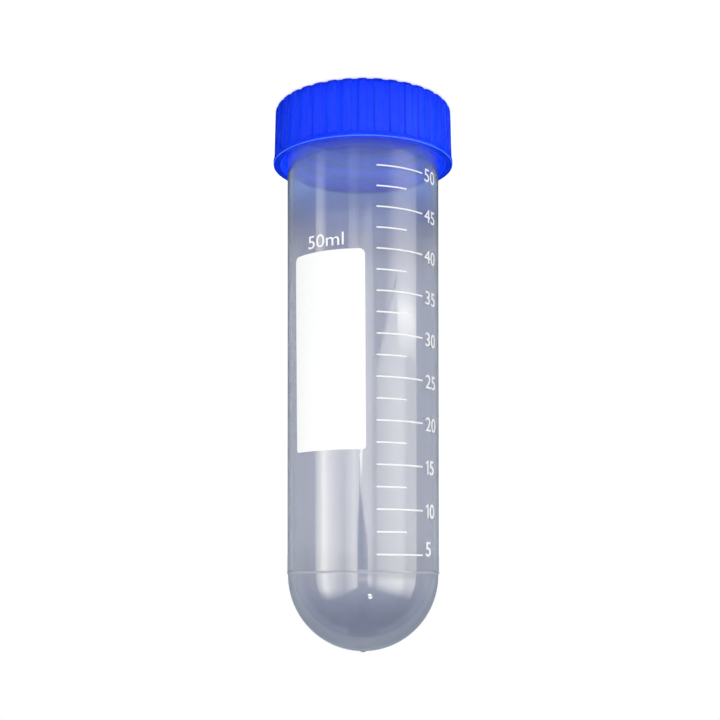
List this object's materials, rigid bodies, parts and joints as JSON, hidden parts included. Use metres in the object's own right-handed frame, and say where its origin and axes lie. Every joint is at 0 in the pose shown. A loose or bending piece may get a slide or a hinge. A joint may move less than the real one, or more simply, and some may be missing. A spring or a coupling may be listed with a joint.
{
  "type": "round-bottom centrifuge tube with screw cap",
  "caption": "Translucent plastic centrifuge tube with a round bottom, printed volume scale and writing panel, closed by a ribbed screw cap; it stands on the cap.",
  "frame": {"origin": "centre of the cap's flat top, which the closed tube stands on", "axes": "+Z along the tube's axis from the cap's top to the round bottom; the printed scale faces -Y"},
  "size_m": [0.0361, 0.036, 0.1075],
  "materials": {
    "tube": "translucent blue-grey polypropylene, smooth",
    "cap": "vivid blue moulded polypropylene, semi-gloss",
    "print": "opaque white ink of the volume scale and the writing panel"
  },
  "bodies": {
    "cap": {"cap": "cap"},
    "tube": {"tube": "tube"}
  },
  "joints": [
    {"name": "tube_lift", "type": "slide", "parent": "cap", "child": "tube", "axis": [0, 0, 1], "range_m": [0, 0.03]}
  ]
}
